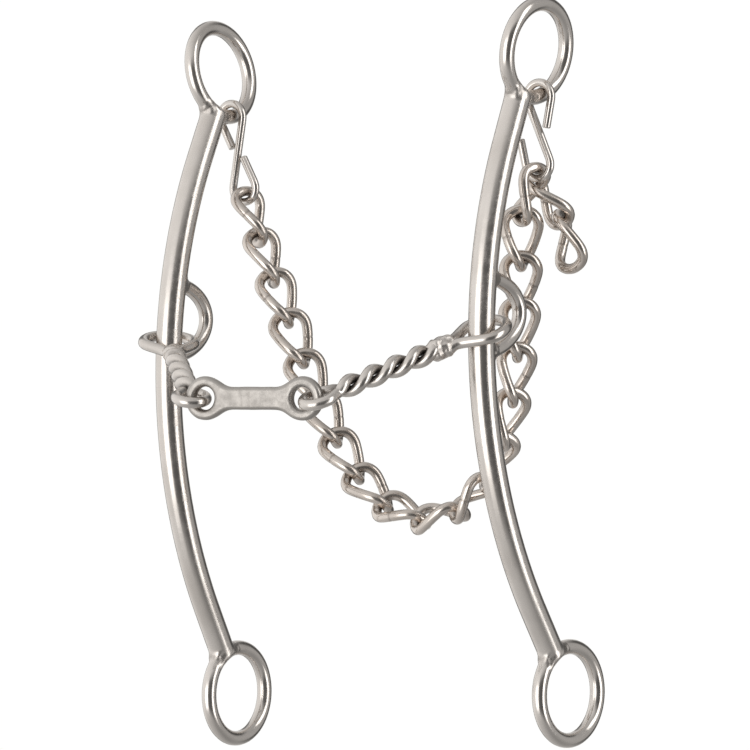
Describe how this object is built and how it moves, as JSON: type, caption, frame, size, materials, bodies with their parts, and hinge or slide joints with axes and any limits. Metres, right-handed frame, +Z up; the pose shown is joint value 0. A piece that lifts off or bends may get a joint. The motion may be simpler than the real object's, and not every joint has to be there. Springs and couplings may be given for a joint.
{
  "type": "curb bit",
  "caption": "Sliding-cheek curb bit: two bowed cheeks with headstall and rein rings, jointed twisted-wire mouthpiece with a flat center link, and a hooked curb chain.",
  "frame": {"origin": "where a headstall strap bears on the inside of the left headstall ring, at the top of the ring", "axes": "+Z up as the bit hangs, +X from the left cheek to the right cheek, +Y to the back, the side the curb chain hangs on"},
  "size_m": [0.115, 0.0969, 0.2004],
  "materials": {
    "satin_steel": "satin stainless steel, finely brushed",
    "polished_steel": "polished stainless steel",
    "chain_steel": "tumbled stainless steel, slightly warmer and darker than the cheeks"
  },
  "bodies": {
    "left_cheek": {"left_cheek_bar": "satin_steel", "left_headstall_ring": "polished_steel", "left_rein_ring": "polished_steel", "left_gag_loop": "polished_steel"},
    "left_arm": {"left_mouthpiece_arm": "satin_steel"},
    "center_link": {"mouthpiece_center_link": "satin_steel"},
    "right_arm": {"right_mouthpiece_arm": "satin_steel"},
    "right_cheek": {"right_cheek_bar": "satin_steel", "right_headstall_ring": "polished_steel", "right_rein_ring": "polished_steel", "right_gag_loop": "polished_steel"},
    "left_hook": {"left_curb_hook": "polished_steel"},
    "link_01": {"chain_link_01": "chain_steel"},
    "link_02": {"chain_link_02": "chain_steel"},
    "link_03": {"chain_link_03": "chain_steel"},
    "link_04": {"chain_link_04": "chain_steel"},
    "link_05": {"chain_link_05": "chain_steel"},
    "link_06": {"chain_link_06": "chain_steel"},
    "link_07": {"chain_link_07": "chain_steel"},
    "link_08": {"chain_link_08": "chain_steel"},
    "link_09": {"chain_link_09": "chain_steel"},
    "link_10": {"chain_link_10": "chain_steel"},
    "link_11": {"chain_link_11": "chain_steel"},
    "link_12": {"chain_link_12": "chain_steel"},
    "link_13": {"chain_link_13": "chain_steel"},
    "link_14": {"chain_link_14": "chain_steel"},
    "link_15": {"chain_link_15": "chain_steel"},
    "link_16": {"chain_link_16": "chain_steel"},
    "link_17": {"chain_link_17": "chain_steel"},
    "link_18_on_hook": {"chain_link_18_on_hook": "chain_steel"},
    "right_hook": {"right_curb_hook": "polished_steel"},
    "spare_link_1": {"spare_chain_link_1": "chain_steel"},
    "spare_link_2": {"spare_chain_link_2": "chain_steel"}
  },
  "joints": [
    {"name": "mouthpiece_slide", "type": "slide", "parent": "left_cheek", "child": "left_arm", "axis": [0, 0.0698, 0.9976], "range_m": [0, 0.005]},
    {"name": "center_link_hinge", "type": "hinge", "parent": "left_arm", "child": "center_link", "pos_m": [0.03653, -0.05679, -0.09898], "axis": [0.8167, 0.5317, 0.2245], "range_deg": [0, 7]},
    {"name": "right_arm_roll", "type": "hinge", "parent": "center_link", "child": "right_arm", "pos_m": [0.07387, -0.05198, -0.09898], "axis": [0.5392, 0.7597, 0.3634], "range_deg": [-8, 1]},
    {"name": "right_cheek_swivel", "type": "hinge", "parent": "left_cheek", "child": "right_cheek", "pos_m": [0.09959, -0.01574, -0.08165], "axis": [0.0285, 0.3598, 0.9326], "range_deg": [-4, 4]},
    {"name": "left_hook_swing", "type": "hinge", "parent": "left_cheek", "child": "left_hook", "pos_m": [0.00395, 0.00231, -0.02244], "axis": [0.9979, 0.059, 0.026], "range_deg": [-1.5, 25]},
    {"name": "link_01_hinge", "type": "hinge", "parent": "left_hook", "child": "link_01", "pos_m": [0.00877, 0.0026, -0.04427], "axis": [-0.9656, -0.0571, -0.2538], "range_deg": [-1.5, 1.5]},
    {"name": "link_02_hinge", "type": "hinge", "parent": "link_01", "child": "link_02", "pos_m": [0.01313, 0.00285, -0.05543], "axis": [0.9264, 0.0548, 0.3725], "range_deg": [-1.5, 1.5]},
    {"name": "link_03_hinge", "type": "hinge", "parent": "link_02", "child": "link_03", "pos_m": [0.01756, 0.00312, -0.06655], "axis": [-0.8729, -0.0516, -0.4852], "range_deg": [-1.5, 1.5]},
    {"name": "link_04_hinge", "type": "hinge", "parent": "link_03", "child": "link_04", "pos_m": [0.02211, 0.00339, -0.07763], "axis": [0.8078, 0.0478, 0.5875], "range_deg": [-1.5, 1.5]},
    {"name": "link_05_hinge", "type": "hinge", "parent": "link_04", "child": "link_05", "pos_m": [0.02683, 0.00366, -0.08864], "axis": [-0.7349, -0.0435, -0.6767], "range_deg": [-1.5, 1.5]},
    {"name": "link_06_hinge", "type": "hinge", "parent": "link_05", "child": "link_06", "pos_m": [0.03188, 0.00396, -0.0995], "axis": [0.6578, 0.0389, 0.7522], "range_deg": [-1.5, 1.5]},
    {"name": "link_07_hinge", "type": "hinge", "parent": "link_06", "child": "link_07", "pos_m": [0.03757, 0.0043, -0.11004], "axis": [-0.5781, -0.0342, -0.8153], "range_deg": [-1.5, 1.5]},
    {"name": "link_08_hinge", "type": "hinge", "parent": "link_07", "child": "link_08", "pos_m": [0.04448, 0.00471, -0.11981], "axis": [0.4953, 0.0293, 0.8682], "range_deg": [-1.5, 1.5]},
    {"name": "link_09_hinge", "type": "hinge", "parent": "link_08", "child": "link_09", "pos_m": [0.05347, 0.00524, -0.12772], "axis": [-0.4067, -0.0241, -0.9133], "range_deg": [-1.5, 1.5]},
    {"name": "link_10_hinge", "type": "hinge", "parent": "link_09", "child": "link_10", "pos_m": [0.06479, 0.00591, -0.13158], "axis": [0.3121, 0.0185, 0.9499], "range_deg": [-1.5, 1.5]},
    {"name": "link_11_hinge", "type": "hinge", "parent": "link_10", "child": "link_11", "pos_m": [0.07651, 0.0066, -0.12921], "axis": [-0.2227, -0.0132, -0.9748], "range_deg": [-1.5, 1.5]},
    {"name": "link_12_hinge", "type": "hinge", "parent": "link_11", "child": "link_12", "pos_m": [0.08548, 0.00713, -0.12128], "axis": [0.1559, 0.0092, 0.9877], "range_deg": [-1.5, 1.5]},
    {"name": "link_13_hinge", "type": "hinge", "parent": "link_12", "child": "link_13", "pos_m": [0.0908, 0.00745, -0.11055], "axis": [-0.117, -0.0069, -0.9931], "range_deg": [-1.5, 1.5]},
    {"name": "link_14_hinge", "type": "hinge", "parent": "link_13", "child": "link_14", "pos_m": [0.09357, 0.00761, -0.0989], "axis": [0.0997, 0.0059, 0.995], "range_deg": [-1.5, 1.5]},
    {"name": "link_15_hinge", "type": "hinge", "parent": "link_14", "child": "link_15", "pos_m": [0.09494, 0.00769, -0.087], "axis": [-0.097, -0.0057, -0.9953], "range_deg": [-1.5, 1.5]},
    {"name": "link_16_hinge", "type": "hinge", "parent": "link_15", "child": "link_16", "pos_m": [0.09562, 0.00773, -0.07503], "axis": [0.1056, 0.0062, 0.9944], "range_deg": [-1.5, 1.5]},
    {"name": "link_17_hinge", "type": "hinge", "parent": "link_16", "child": "link_17", "pos_m": [0.09596, 0.00775, -0.06306], "axis": [-0.1269, -0.0075, -0.9919], "range_deg": [-1.5, 1.5]},
    {"name": "link_18_on_hook_hinge", "type": "hinge", "parent": "link_17", "child": "link_18_on_hook", "pos_m": [0.0961, 0.00776, -0.05108], "axis": [0.1699, 0.0101, 0.9854], "range_deg": [-1.5, 1.5]},
    {"name": "right_hook_hinge", "type": "hinge", "parent": "link_18_on_hook", "child": "right_hook", "pos_m": [0.10118, 0.00806, -0.0378], "axis": [0.0168, 0.001, 0.9999], "range_deg": [-3, 3]},
    {"name": "spare_link_1_hinge", "type": "hinge", "parent": "link_18_on_hook", "child": "spare_link_1", "pos_m": [0.09723, 0.01226, -0.04211], "axis": [-0.0591, 0.9983, 0], "range_deg": [-14, 0]},
    {"name": "spare_link_2_hinge", "type": "hinge", "parent": "spare_link_1", "child": "spare_link_2", "pos_m": [0.10243, 0.01737, -0.05189], "axis": [-0.0591, 0.9983, 0], "range_deg": [-15, 15]}
  ]
}
